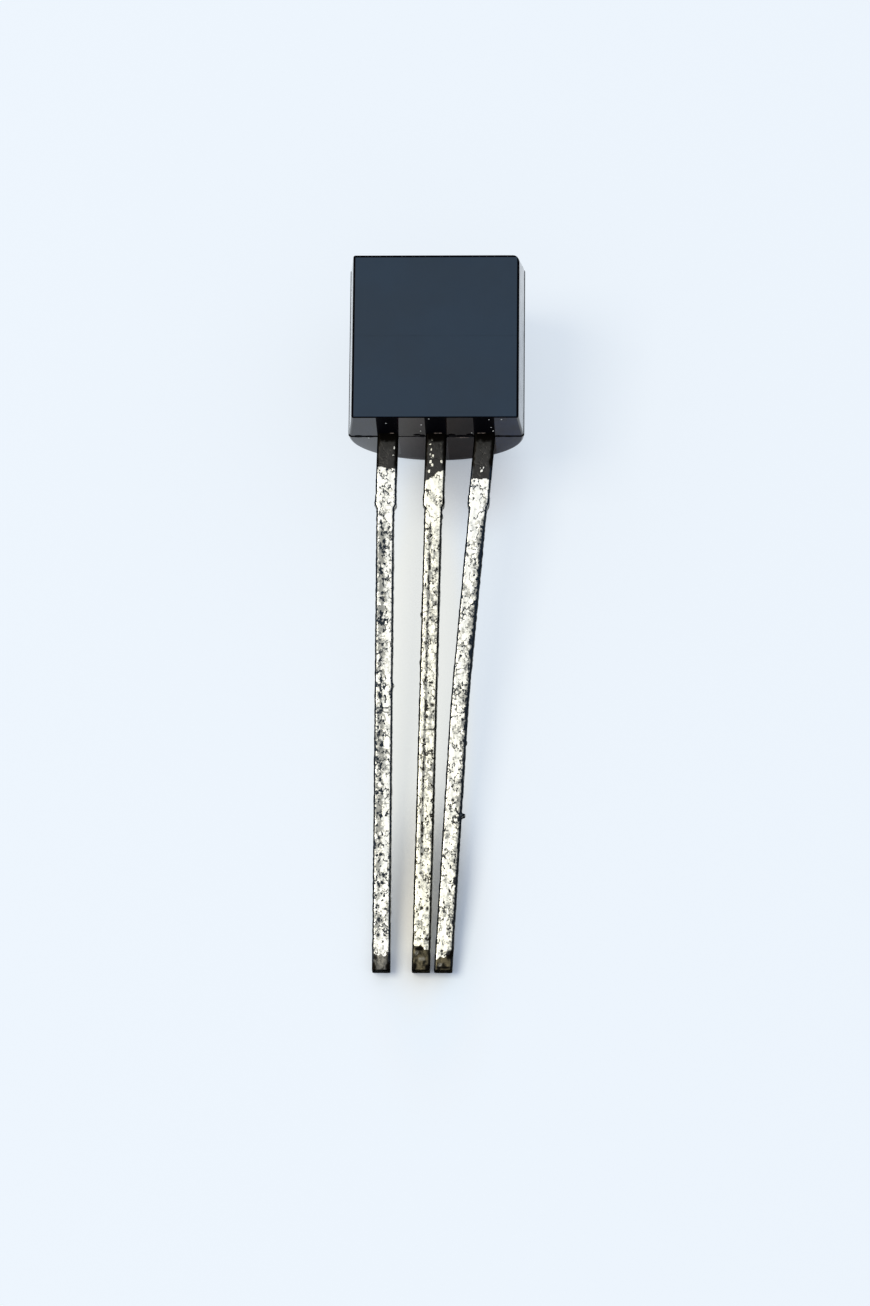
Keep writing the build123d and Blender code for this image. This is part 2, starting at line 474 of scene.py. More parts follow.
def edge_finish(settings):
    """Black epoxy with almost no shine: the edges round the flat face, the parting line and the pockets,
    and painted shade and dark reflection on the lead end.
    """
    finish = Finish("moulded_epoxy_edge")
    grain = finish.grain(EPOXY_GRAIN, detail=3.0, roughness=0.6)
    shades = shade(settings.edge_colour, 0.5), shade(settings.edge_colour, 1.5)
    return finish.paint(Base_Color=finish.blend(grain, *shades), Roughness=finish.spread(grain, 0.4, 0.55),
                        Normal=finish.bump(grain, 0.002, 0.5), IOR=1.05)


def solder_finish(settings):
    """Flat lead metal: charcoal roots, bright cracked solder, dark ragged edges of painted reflection and
    bare tips.
    """
    finish = Finish("tinned_lead")
    place = finish.place()
    drawn = finish.vectors("MULTIPLY", place, SOLDER_STRETCH)
    grain = finish.grain(SOLDER_GRAIN, detail=4.0, roughness=0.7, place=place)
    patch = finish.grain(SOLDER_PATCH, detail=4.0, roughness=0.62, place=drawn)
    cloud = finish.grain(SOLDER_CLOUD, place=place)
    marks = {name: finish.mark(name) for name in LEAD_MARKS}

    # Bright solder with dull lumps, cracks and pits
    bright = finish.calc("ADD", patch, finish.step(grain, 0.25, 0.75, -0.13, 0.13))
    bright = finish.calc("ADD", bright, finish.spread(cloud, -0.05, 0.05))
    bright = finish.calc("SUBTRACT", bright, finish.calc("MULTIPLY", marks["grime"], 0.16))
    bright = finish.step(bright, 0.30, 0.54)
    clean = finish.blend(marks["cream"], settings.tin_colour, settings.cream_tin_colour)
    solder = finish.blend(bright, settings.dull_tin_colour, clean)
    dark = solder_faults(finish, place, drawn, marks)
    pit_colour = finish.blend(marks["cream"], settings.blue_pit_and_painted_edge_colour, settings.pit_colour)
    solder = finish.blend(dark, solder, pit_colour)

    # Solder over bare metal, with beads of it on the root
    cover = finish.calc("ADD", marks["tin"], finish.spread(grain, -0.3, 0.3))
    beads = finish.calc("ADD", marks["beads"], finish.spread(grain, -0.2, 0.2))
    cover = finish.calc("MAXIMUM", finish.step(cover, 0.42, 0.58), finish.step(beads, 0.4, 0.6))
    colour = finish.blend(cover, bare_metal(finish, settings, grain, patch, marks), solder)

    # Painted dark reflection along the rounded edges, with the painted shade band and the painted shade
    # near the body
    ragged = finish.calc("ADD", marks["edge"], finish.spread(grain, -0.25, 0.25))
    painted_edges = finish.blend(marks["cream"], settings.blue_pit_and_painted_edge_colour, settings.edge_colour)
    painted_edges = finish.blend(marks["dark"], painted_edges, settings.shade_and_blot_colour)
    colour = finish.blend(finish.step(ragged, 0.3, 0.6), colour, painted_edges)

    relief = finish.calc("ADD", finish.calc("MULTIPLY", grain, 0.4), cover)
    relief = finish.calc("SUBTRACT", relief, dark)
    return finish.paint(Base_Color=colour, Metallic=1.0, Roughness=finish.step(bright, 0.0, 1.0, 0.5, 0.36),
                        Normal=finish.bump(relief, 0.008, 0.5), Specular_Tint=(0.12, 0.12, 0.12))


def solder_faults(finish, place, drawn, marks):
    """Wandering cracks that break off, pits, and the dark blots that the mesh carries."""
    wander = finish.grain(CRACK_WANDER, detail=3.0, place=drawn)
    cracked = finish.calc("ABSOLUTE", finish.calc("SUBTRACT", wander, 0.5))
    cracked = finish.step(cracked, 0.006, 0.036, 1.0, 0.0)
    kept = finish.step(finish.grain(CRACK_BREAK, place=place), 0.43, 0.53)
    cracked = finish.calc("MULTIPLY", cracked, kept)
    pits = finish.grain(PIT_SIZE, detail=3.0, roughness=0.55, place=drawn)
    pits = finish.calc("ADD", pits, finish.calc("MULTIPLY", marks["grime"], 0.075))
    pits = finish.calc("ADD", pits, finish.spread(finish.grain(PIT_FIELD, place=place), -0.04, 0.04))
    pitted = finish.step(pits, 0.61, 0.65)
    return finish.calc("MAXIMUM", finish.calc("MAXIMUM", pitted, cracked), marks["dark"])


def bare_metal(finish, settings, grain, patch, marks):
    """Charcoal root with painted shade close to the body, and brown or grey tip with worn patches."""
    root = finish.blend(patch, shade(settings.root_colour, 0.5), shade(settings.root_colour, 1.5))
    tip_metal = finish.blend(finish.step(marks["cream"], 0.4, 0.7), settings.grey_tip_colour,
                             settings.tip_colour)
    tip = finish.blend(finish.step(patch, 0.38, 0.6), settings.edge_colour, tip_metal)
    worn = finish.calc("MULTIPLY", marks["worn"], finish.step(grain, 0.35, 0.6, 0.2, 1.0))
    tip = finish.blend(worn, tip, settings.worn_colour)
    return finish.blend(marks["dark"], finish.blend(marks["tip"], root, tip), settings.shade_and_blot_colour)


def speck_finish(settings):
    """Splashes of solder."""
    finish = Finish("solder_specks")
    grain = finish.grain(SPLASH_GRAIN)
    colour = finish.blend(grain, settings.dull_tin_colour, settings.tin_colour)
    return finish.paint(Base_Color=colour, Metallic=1.0, Roughness=finish.spread(grain, 0.3, 0.4))


def lip_highlight_finish():
    """Tan lips where a lead leaves the body, coloured as a painted highlight."""
    finish = Finish("painted_lip_highlight")
    grain = finish.grain(LIP_GRAIN)
    colour = finish.blend(finish.step(grain, 0.35, 0.6), *LIP_HIGHLIGHT_SHADES)
    return finish.paint(Base_Color=colour, Roughness=finish.spread(grain, 0.4, 0.6))


def silicon_finish():
    """Polished silicon with a faint film."""
    finish = Finish("silicon")
    film = finish.grain(DIE_FILM)
    colour = finish.blend(film, *DIE_SHADES)
    return finish.paint(Base_Color=colour, Metallic=0.6, Roughness=finish.spread(film, 0.12, 0.2))


def bond_wire_finish():
    """Bright drawn gold wire."""
    finish = Finish("bond_wire")
    drawn = finish.grain(WIRE_GRAIN)
    colour = finish.blend(drawn, *WIRE_SHADES)
    return finish.paint(Base_Color=colour, Metallic=1.0, Roughness=finish.spread(drawn, 0.18, 0.3))


# Epoxy body

POCKET_DEPTH = 0.3
POCKET_CLEARANCE = 0.004
POCKET_TOP = LEAD_THICKNESS / 2 + POCKET_CLEARANCE
FLASH_HALF_WIDTH = 0.02
PARTING_LINE_TOP = 0.11
PARTING_LINE_HALF = 0.06
PARTING_LINE_WAVE = 0.04
PARTING_WAVES = 5                   # how fast the parting line's top edge waves
TOP_WAVE_START = 7                  # where in the noise its waves start on the top half
# Points of the section, in from the flat's rounded edge and up from the parting line
FLAT_INSETS = (0.3, 0.1, 0.07, 0.04, 0.02)
SIDE_LEVELS = (0.9, 0.6)
UPRIGHT_LEVEL = 0.3                 # below this the side counts as upright
PARTING_LEVELS = (GATE_DEPTH / 2, POCKET_TOP, PARTING_LINE_TOP, PARTING_LINE_HALF, FLASH_HALF_WIDTH)
CORNER_STEPS = 6
BACK_STEPS = 36
# Rings along the body: on an end's rounded edge, close to it and then evenly to the middle
END_EDGE_STEPS = 5
CLOSE_RINGS = (0.02, 0.04, 0.06, 0.09, 0.13)
FIRST_RING = 0.3
RING_STEP = 0.13
RING_COUNT = 16
TOP_STRIP = 0.021                   # black strip of the flat, next to the rounded top edge
LEAD_END_STRIP = 0.15               # share of the rounding that the lead end's strip begins at
EDGE_LEAN = 0.2                     # how far the flat's rounded edge faces up where it is black
SLACK = 0.01                        # for comparing which way points face
COLUMN_MARGIN = 0.02
GATE_COLUMNS = (-1, -0.95, -0.7, -0.4, -0.1, 0.25, 0.55, 0.8, 0.95, 1)     # shares of half its width
TORN_LEVEL = 0.75                   # height of the torn epoxy, as a share of the gate's
TORN_SPREAD = 0.4
TORN_ACROSS, TORN_UP, TORN_START = 7, 9, 3.1    # how fast it changes, and where its noise starts
BODY_SHARP = radians(25)
TOLERANCE = 1e-6                    # for comparing places
LEAD_EXITS = (-LEAD_PITCH, 0.0, LEAD_PITCH)
# The body's finishes, in the order of its slots; those of the lead end come last
FLAT, EDGE, SKIN, GATE, LEAD_END = range(5)
# Painted reflection on the lead end from left to right: a tint, and the index of refraction that gives
# its shine above (front) and below (back) the parting line, lower where the paper it mirrors lies in shade
LEAD_END_REFLECTIONS = {
    "left": {"colour": (0.002, 0.004, 0.012), "front": 1.41, "back": 1.28},
    "first_gap": {"colour": (0.008, 0.004, 0.006), "front": 1.28, "back": 1.17},
    "second_gap": {"colour": (0.008, 0.004, 0.003), "front": 1.15, "back": 1.09},
    "right": {"colour": (0.002, 0.007, 0.022), "front": 1.24, "back": 1.15},
}
# Roughness and relief of both halves of the lead end
LEAD_END_HALVES = {"front": ((0.03, 0.09), 0.0008), "back": ((0.06, 0.14), 0.0012)}


def body_profile(flash):
    """Right half of the D-shaped section, from the flat face round to the back, as (x, z, nx, nz)."""
    radius = FLAT_EDGE_RADIUS
    corner_z = FRONT_DEPTH - radius
    corner_x = BACK_RADIUS - (radius + corner_z * sin(SIDE_DRAFT)) / cos(SIDE_DRAFT)
    points = [(corner_x - inset, FRONT_DEPTH, 0.0, 1.0) for inset in FLAT_INSETS]
    for step in range(CORNER_STEPS + 1):
        turn = pi / 2 + (SIDE_DRAFT - pi / 2) * step / CORNER_STEPS
        points.append((corner_x + radius * cos(turn), corner_z + radius * sin(turn), cos(turn), sin(turn)))
    for z in SIDE_LEVELS:
        points.append((BACK_RADIUS - z * tan(SIDE_DRAFT), z, cos(SIDE_DRAFT), sin(SIDE_DRAFT)))
    for z in (UPRIGHT_LEVEL, *PARTING_LEVELS):
        points.append((BACK_RADIUS - z * tan(SIDE_DRAFT), z, 1.0, 0.0))
    points.append((BACK_RADIUS + flash, 0.0, 1.0, 0.0))
    for z in reversed(PARTING_LEVELS):
        points.append((sqrt(BACK_RADIUS ** 2 - z * z), -z, 1.0, 0.0))
    start = UPRIGHT_LEVEL / BACK_RADIUS
    for step in range(BACK_STEPS):
        turn = start + (pi / 2 - start) * step / (BACK_STEPS - 0.5)
        points.append((BACK_RADIUS * cos(turn), -BACK_RADIUS * sin(turn), cos(turn), -sin(turn)))
    return points


def body_rings(edge_radius):
    """Rings along the body, as (how far inside the outline, distance from an end, at the top end)."""
    rounding = []
    for step in range(END_EDGE_STEPS + 1):
        turn = pi / 2 * (1 - step / END_EDGE_STEPS)
        rounding.append((edge_radius * (1 - cos(turn)), edge_radius * (1 - sin(turn))))
    straight = [(0.0, edge_radius + extra) for extra in CLOSE_RINGS]
    straight += [(0.0, FIRST_RING + RING_STEP * step) for step in range(RING_COUNT)]
    lead_end = [(inset, away, False) for inset, away in rounding + straight]
    top_end = [(inset, away, True) for inset, away in reversed(rounding + straight)]
    return lead_end + top_end


def end_level(z, at_top):
    """Where an end of the body is at a height from the parting line."""
    setback = max(z, 0.0) * tan(END_DRAFT)
    if at_top:
        return BODY_LENGTH - setback
    depth = FRONT_DEPTH if z > 0 else BACK_RADIUS
    return setback - LEAD_END_BULGE * (1 - abs(z) / depth)


def worn_corner(x, y, z, radius):
    """Pulls a point back to the rounded top right corner of the front half."""
    if z <= 0 or x <= 0:
        return x, y
    reach = radius * z / FRONT_DEPTH
    aside = BACK_RADIUS - z * tan(SIDE_DRAFT) - reach
    above = end_level(z, True) - reach
    over_x, over_y = x - aside, y - above
    distance = hypot(over_x, over_y)
    if over_x <= 0 or over_y <= 0 or distance <= reach:
        return x, y
    return aside + over_x * reach / distance, above + over_y * reach / distance


class BodyMesh:
    """Points and faces of the moulded body: a ringed skin, a lead end with pockets and a gated top."""

    def __init__(self, settings):
        self.edge_radius = settings.edge_radius / MM
        self.corner_radius = settings.corner_radius / MM
        self.flash = settings.flash_height / MM
        self.profile = body_profile(self.flash)
        self.verts = []
        self.faces = []
        self.finishes = []
        steps = body_rings(self.edge_radius)
        rings = [self.ring(*step) for step in steps]
        for k, (near, far) in enumerate(zip(rings, rings[1:])):
            if steps[k][2]:
                on_end = steps[k][1] < self.edge_radius + TOP_STRIP
            else:
                on_end = steps[k + 1][0] > LEAD_END_STRIP * self.edge_radius
            for i, here in enumerate(near):
                self.face((here, near[i - 1], far[i - 1], far[i]), self.finish_of(i, on_end))
        pocket_half = ROOT_WIDTH / 2 + POCKET_CLEARANCE
        self.pocket_sides = [(exit_x - pocket_half, exit_x + pocket_half) for exit_x in LEAD_EXITS]
        self.end(rings[0], False, [x for sides in self.pocket_sides for x in sides])
        self.end(rings[-1], True, [GATE_WIDTH / 2 * share for share in GATE_COLUMNS])

    def point(self, x, y, z):
        """Adds a point and gives its number."""
        self.verts.append((x, y, z))
        return len(self.verts) - 1

    def face(self, corners, finish):
        """Adds a face with one of the body's finishes."""
        self.faces.append(corners)
        self.finishes.append(finish)

    def finish_of(self, i, on_end):
        """Finish of the stretch of skin that ends at the i-th point of a ring."""
        count = len(self.profile)
        ends = [min(k % (2 * count), 2 * count - 1 - k % (2 * count)) for k in (i - 1, i)]
        tops = [self.profile[k][3] for k in ends]
        heights = [self.profile[k][1] for k in ends]
        if min(heights) >= FLASH_HALF_WIDTH and max(heights) <= PARTING_LINE_TOP:
            return EDGE
        if min(tops) == 1.0:
            return EDGE if on_end else FLAT
        on_flat_edge = min(tops) > sin(SIDE_DRAFT) - SLACK and max(tops) > EDGE_LEAN
        return EDGE if on_flat_edge else SKIN

    def ring(self, inset, away, at_top):
        """One closed ring: the right half downward, then the left half upward."""
        ring = []
        for side in (1, -1):
            order = self.profile if side > 0 else reversed(self.profile)
            for x, z, nx, nz in order:
                if z == PARTING_LINE_TOP and away > self.edge_radius:
                    spot = Vector((PARTING_WAVES * away, side, TOP_WAVE_START if at_top else 0))
                    wave = PARTING_LINE_WAVE * noise.noise(spot)
                    x, z = x - wave * tan(SIDE_DRAFT), z + wave
                inner_x = x - nx * inset
                inner_z = z - nz * inset
                level = end_level(inner_z, at_top)
                y = level - away if at_top else level + away
                if z == 0 and away < self.edge_radius:
                    y += self.flash * (1 if at_top else -1) * inset / self.edge_radius
                px, py = worn_corner(inner_x, y, inner_z, self.corner_radius) if side > 0 else (inner_x, y)
                ring.append(self.point(side * px, py, inner_z))
        return ring

    def end(self, ring, at_top, columns):
        """Closes an end row by row, with columns where the leads or the gate are."""
        count = len(self.profile)
        first = next(i for i, point in enumerate(self.profile) if point[2] > SLACK)
        rows = []
        for i in range(first, count):
            right, left = ring[i], ring[2 * count - 1 - i]
            half_width, y, z = self.verts[right]
            row = {-BACK_RADIUS: left}
            if not at_top or abs(z) <= GATE_DEPTH / 2 + TOLERANCE:
                for x in columns:
                    if abs(x) < half_width - COLUMN_MARGIN:
                        row[x] = self.point(x, self.end_surface(x, z, at_top), z)
            row[BACK_RADIUS] = right
            rows.append(row)
        upper_left = [ring[2 * count - 1 - i] for i in reversed(range(first))]
        self.face([*upper_left, *ring[:first], *reversed(rows[0].values())], EDGE)
        for upper, lower in zip(rows, rows[1:]):
            shared = [x for x in upper if x in lower]
            for start, end in zip(shared, shared[1:]):
                cell = [vert for x, vert in upper.items() if start <= x <= end]
                cell += [vert for x, vert in reversed(lower.items()) if start <= x <= end]
                finish = self.top_finish(cell) if at_top else self.lead_end_finish(cell)
                if finish is not None:
                    self.face(cell, finish)
        if not at_top:
            self.pockets(rows)

    def top_finish(self, cell):
        """Torn epoxy inside the gate scar, smooth skin round it."""
        in_gate = all(abs(self.verts[vert][0]) <= GATE_WIDTH / 2 + TOLERANCE for vert in cell)
        return GATE if in_gate else SKIN

    def lead_end_finish(self, cell):
        """Painted reflection by place across, black at the parting line, black above each lead as a painted
        dark reflection of the leads, none at a pocket's mouth.
        """
        middle = sum(self.verts[vert][0] for vert in cell) / len(cell)
        heights = [self.verts[vert][2] for vert in cell]
        away = max(abs(height) for height in heights)
        by_lead = any(abs(middle - exit_x) < ROOT_WIDTH / 2 for exit_x in LEAD_EXITS)
        if by_lead and away <= POCKET_TOP + TOLERANCE:
            return None
        gap = sum(middle > exit_x + TOLERANCE for exit_x in LEAD_EXITS)
        parting = FLASH_HALF_WIDTH if gap == 1 else PARTING_LINE_HALF
        if away < parting + TOLERANCE or (by_lead and min(heights) > 0):
            return EDGE
        below = min(heights) < -TOLERANCE
        return LEAD_END + gap + (len(LEAD_END_REFLECTIONS) if below else 0)

    def end_surface(self, x, z, at_top):
        """Height of an end: drafted plane, flash at the parting line, rough gate scar on the top."""
        y = end_level(z, at_top)
        outward = 1 if at_top else -1
        if abs(z) < TOLERANCE:
            y += outward * self.flash
        if at_top and abs(x) < GATE_WIDTH / 2 - TOLERANCE and abs(z) < GATE_DEPTH / 2 - TOLERANCE:
            spot = Vector((x * TORN_ACROSS, z * TORN_UP, TORN_START))
            torn = TORN_LEVEL + TORN_SPREAD * noise.noise(spot)
            y += GATE_HEIGHT * min(torn, 1.0)
        return y

    def pockets(self, rows):
        """Walls and floors of the three pockets that the leads come out of."""
        limit = POCKET_TOP + TOLERANCE
        band = [row for row in rows if abs(self.verts[row[BACK_RADIUS]][2]) <= limit]
        for left, right in self.pocket_sides:
            rim = [row[left] for row in band] + [row[right] for row in reversed(band)]
            floor = []
            for vert in rim:
                x, y, z = self.verts[vert]
                floor.append(self.point(x, POCKET_DEPTH, z))
            for i in range(len(rim)):
                self.face((rim[i - 1], rim[i], floor[i], floor[i - 1]), EDGE)
            self.face(floor, EDGE)


# Leads

@dataclass
class LeadForm:
    """One lead: its path, its inner end, its solder and its marks.

    Distances run from the body to the tip, and places across run from -1 to 1, left to right.
    Blots are (distance, place across, half length, half width).
    """
    node: str
    mount: str
    exit_x: float
    bend_at: float          # distance of the bend
    bend_drift: float       # how far the lead has drifted sideways there
    inner: tuple            # strip inside the body, as (height, left edge, right edge)
    tin_start: tuple        # where the solder begins, on the left and on the right
    tin_end: tuple          # where it ends, on the left, in the middle and on the right
    streak: tuple           # dull streak: place across, half width, start, end, strength
    dull_side: float        # how much duller the right edge is than the middle, and the left cleaner
    cream: tuple            # film of flux at the body and at the tip
    marks: tuple            # dark blots
    beads: tuple            # blots of solder on the bare root
    worn: tuple             # worn blots on the bare tip
    burrs: tuple            # (distance, side, reach)
    seed: float             # where its noise starts
    dark_side: tuple = (0.0, 0.0, 1.0, 0.0)     # painted shade on the right side: inner place, start, end, strength


LEADS = (
    LeadForm(
        node="collector_lead", mount="collector_pin", exit_x=-LEAD_PITCH,
        bend_at=0.141 * LEAD_LENGTH, bend_drift=-0.035 * LEAD_PITCH,
        inner=((PADDLE_HIGH, -LEAD_PITCH - ROOT_WIDTH / 2, PADDLE_RIGHT),
               (PADDLE_LOW, -LEAD_PITCH - ROOT_WIDTH / 2, PADDLE_RIGHT)),
        tin_start=(0.98, 1.05), tin_end=(13.98, 14.12, 14.02),
        streak=(-0.3, 0.42, 1.6, 12.8, 1.05), dull_side=-0.2, cream=(0.25, 0.4),
        marks=((7.68, -0.65, 0.05, 0.3), (7.62, -0.2, 0.04, 0.3), (7.54, 0.35, 0.03, 0.4),
               (13.18, -0.3, 0.09, 0.3), (13.58, -0.35, 0.06, 0.2), (2.55, -0.5, 0.03, 0.4),
               (4.44, -0.25, 0.06, 0.14), (3.2, 0.5, 0.05, 0.12), (14.42, -0.85, 0.15, 0.4),
               (14.42, 0.85, 0.15, 0.35)),
        beads=((0.45, 0.68, 0.04, 0.07), (0.66, 0.62, 0.03, 0.08)),
        worn=((14.25, 0.0, 0.2, 0.55),), burrs=((1.95, -1, 0.02), (6.9, 1, 0.035)), seed=3.0),
    LeadForm(
        node="base_lead", mount="base_pin", exit_x=0.0,
        bend_at=0.141 * LEAD_LENGTH, bend_drift=-0.045 * LEAD_PITCH,
        inner=((BASE_TOP, -BASE_HEAD_HALF, BASE_HEAD_HALF),
               (BASE_TOP - HEAD_LENGTH, -BASE_HEAD_HALF, BASE_HEAD_HALF)),
        tin_start=(1.42, 1.02), tin_end=(13.87, 13.9, 14.03),
        streak=(-0.28, 0.15, 2.5, 12.0, 2.1), dull_side=0.3, cream=(0.75, 1.0),
        marks=((2.68, -0.5, 0.03, 0.4), (7.47, 0.5, 0.07, 0.35), (7.56, 0.1, 0.04, 0.25),
               (8.13, 0.2, 0.025, 0.8), (3.6, -0.14, 0.06, 0.14), (13.05, -0.42, 0.06, 0.16),
               (12.88, 0.6, 0.07, 0.25), (12.2, -0.4, 0.04, 0.12), (14.44, -0.8, 0.12, 0.4),
               (14.44, 0.8, 0.12, 0.4), (13.95, -0.1, 0.06, 0.6), (1.95, 0.95, 0.12, 0.14)),
        beads=((0.24, -0.36, 0.035, 0.1), (0.36, -0.5, 0.035, 0.12), (0.5, -0.4, 0.045, 0.1),
               (0.64, -0.5, 0.035, 0.1), (0.7, -0.28, 0.05, 0.13), (0.84, -0.42, 0.05, 0.11),
               (0.93, -0.25, 0.045, 0.14), (1.1, -0.52, 0.045, 0.11), (0.84, 0.64, 0.045, 0.09)),
        worn=((14.21, 0.12, 0.06, 0.4), (14.06, -0.5, 0.05, 0.25)),
        burrs=((2.3, 1, 0.03), (6.3, -1, 0.02), (5.0, -1, 0.03)), seed=11.0),
    LeadForm(
        node="emitter_lead", mount="emitter_pin", exit_x=LEAD_PITCH,
        bend_at=0.5 * LEAD_LENGTH, bend_drift=-0.59,
        inner=((PADDLE_LOW + HEAD_LENGTH, PADDLE_RIGHT + FRAME_GAP, LEAD_PITCH + ROOT_WIDTH / 2),
               (PADDLE_LOW, PADDLE_RIGHT + FRAME_GAP, LEAD_PITCH + ROOT_WIDTH / 2)),
        tin_start=(1.33, 1.33), tin_end=(14.27, 14.18, 13.93),
        streak=(1.05, 0.6, 1.9, 13.8, 1.05), dull_side=0.25, cream=(0.1, 0.75),
        marks=((1.85, -0.45, 0.05, 0.12), (3.38, -0.7, 0.06, 0.16), (6.63, -0.35, 0.03, 0.35),
               (8.57, 0.0, 0.05, 0.14), (10.0, -0.05, 0.05, 0.16), (10.46, 0.3, 0.06, 0.18),
               (14.1, 0.7, 0.14, 0.45), (14.45, 0.2, 0.05, 0.9)),
        beads=((1.02, -0.1, 0.03, 0.08), (1.1, 0.05, 0.05, 0.1), (1.0, 0.2, 0.03, 0.07)),
        worn=((14.38, -0.35, 0.05, 0.25),), burrs=((10.4, 1, 0.11), (8.45, 1, 0.03)), seed=23.0,
        dark_side=(0.32, 2.7, 8.3, 0.72)),
)

ROW_STEP = 0.03
TOP_CELLS = 16
CORNER_CELLS = 4
SIDE_CELLS = 6
BOTTOM_CELLS = 10
LEAD_EDGE_RADIUS = 0.06
INNER_EDGE_RADIUS = 0.02
TIP_SHRINK = 0.04           # how much smaller the cut end is all round
EXIT_BEND_REACH = 0.13      # half length of the bend below the body
LOWER_BEND_REACH = 0.8      # half length of the bend further down
SHANK_FADE = 0.06           # half length of the step from root to shank
STUB_FADE = 0.05            # half length of the step from root to stub
STUB_SEEN = STUB_REACH / 3  # what can be told of a stub under its solder
EDGE_FACING = 0.5           # a point that faces this far sideways is on an edge
UNDER_FACING = -0.3         # a point that faces this far down is on the underside
CORNER_PLACE = 0.8          # place across at which the rounded corners begin

# Noise that moves the lead's skin and makes its marks ragged: how fast it changes
RAGGED_WAVES = 9.0
LUMP_WAVES = ((0.6, 4.5), (0.4, 13.0))      # with the share of each
EDGE_WAVES = 11.0
EDGE_WANDER = 0.010
BURR_LENGTH = 0.035
BURR_LOW = -0.1             # burrs stand above this height

# Marks along a lead, by distance from the body
TIN_EDGE = 0.02             # half length of the solder's soft ends
TIN_START_WANDER = 0.06
TIN_END_WANDER = 0.09
STREAK_RISE = 0.3
SHADE_RISE = 0.4
LOWER_FALL = 1.0            # half length over which streaks and dark sides end
SHADE_DROP = 0.6            # how much of a dark side ends there
SHADE_WANDER = 0.5
UNDERSIDE_GRIME = 0.3
CLEANER_START = 0.5         # how much cleaner the solder is where it begins
CLEANER_END = (2.0, 2.8)
TIP_METAL = (12.0, 12.5)    # where bare metal turns from the root's kind to the tip's
# Painted shade where a lead leaves the body and along its root's edges
BODY_SHADE_LENGTH = 0.24
BODY_SHADE_FADE = 0.06
BODY_SHADE_WANDER = 0.08
SHADED_ROOT_EDGE = (0.62, 0.8)    # places across between which a root's edge turns dark with painted shade
SHADED_ROOT_EDGE_END = (0.9, 1.1)
SHADED_ROOT_EDGE_WANDER = 0.15
BLOT_RIM = (0.6, 1.1)
BLOT_WANDER = 0.5
LEAD_SHARP = radians(50)


def stretch(distance, start, end, rise, fall, drop=1.0):
    """Rises to 1 at the start of a stretch of a lead, and drops at its end."""
    begun = smooth_step(distance, start - rise, start + rise)
    ended = smooth_step(distance, end - fall, end + fall)
    return begun * (1 - drop * ended)


def soft_ramp(distance, reach):
    """Zero, then a straight slope of one, with a round bend of the given reach at the origin."""
    if distance <= -reach:
        return 0.0
    if distance >= reach:
        return distance
    return (distance + reach) ** 2 / (4 * reach)


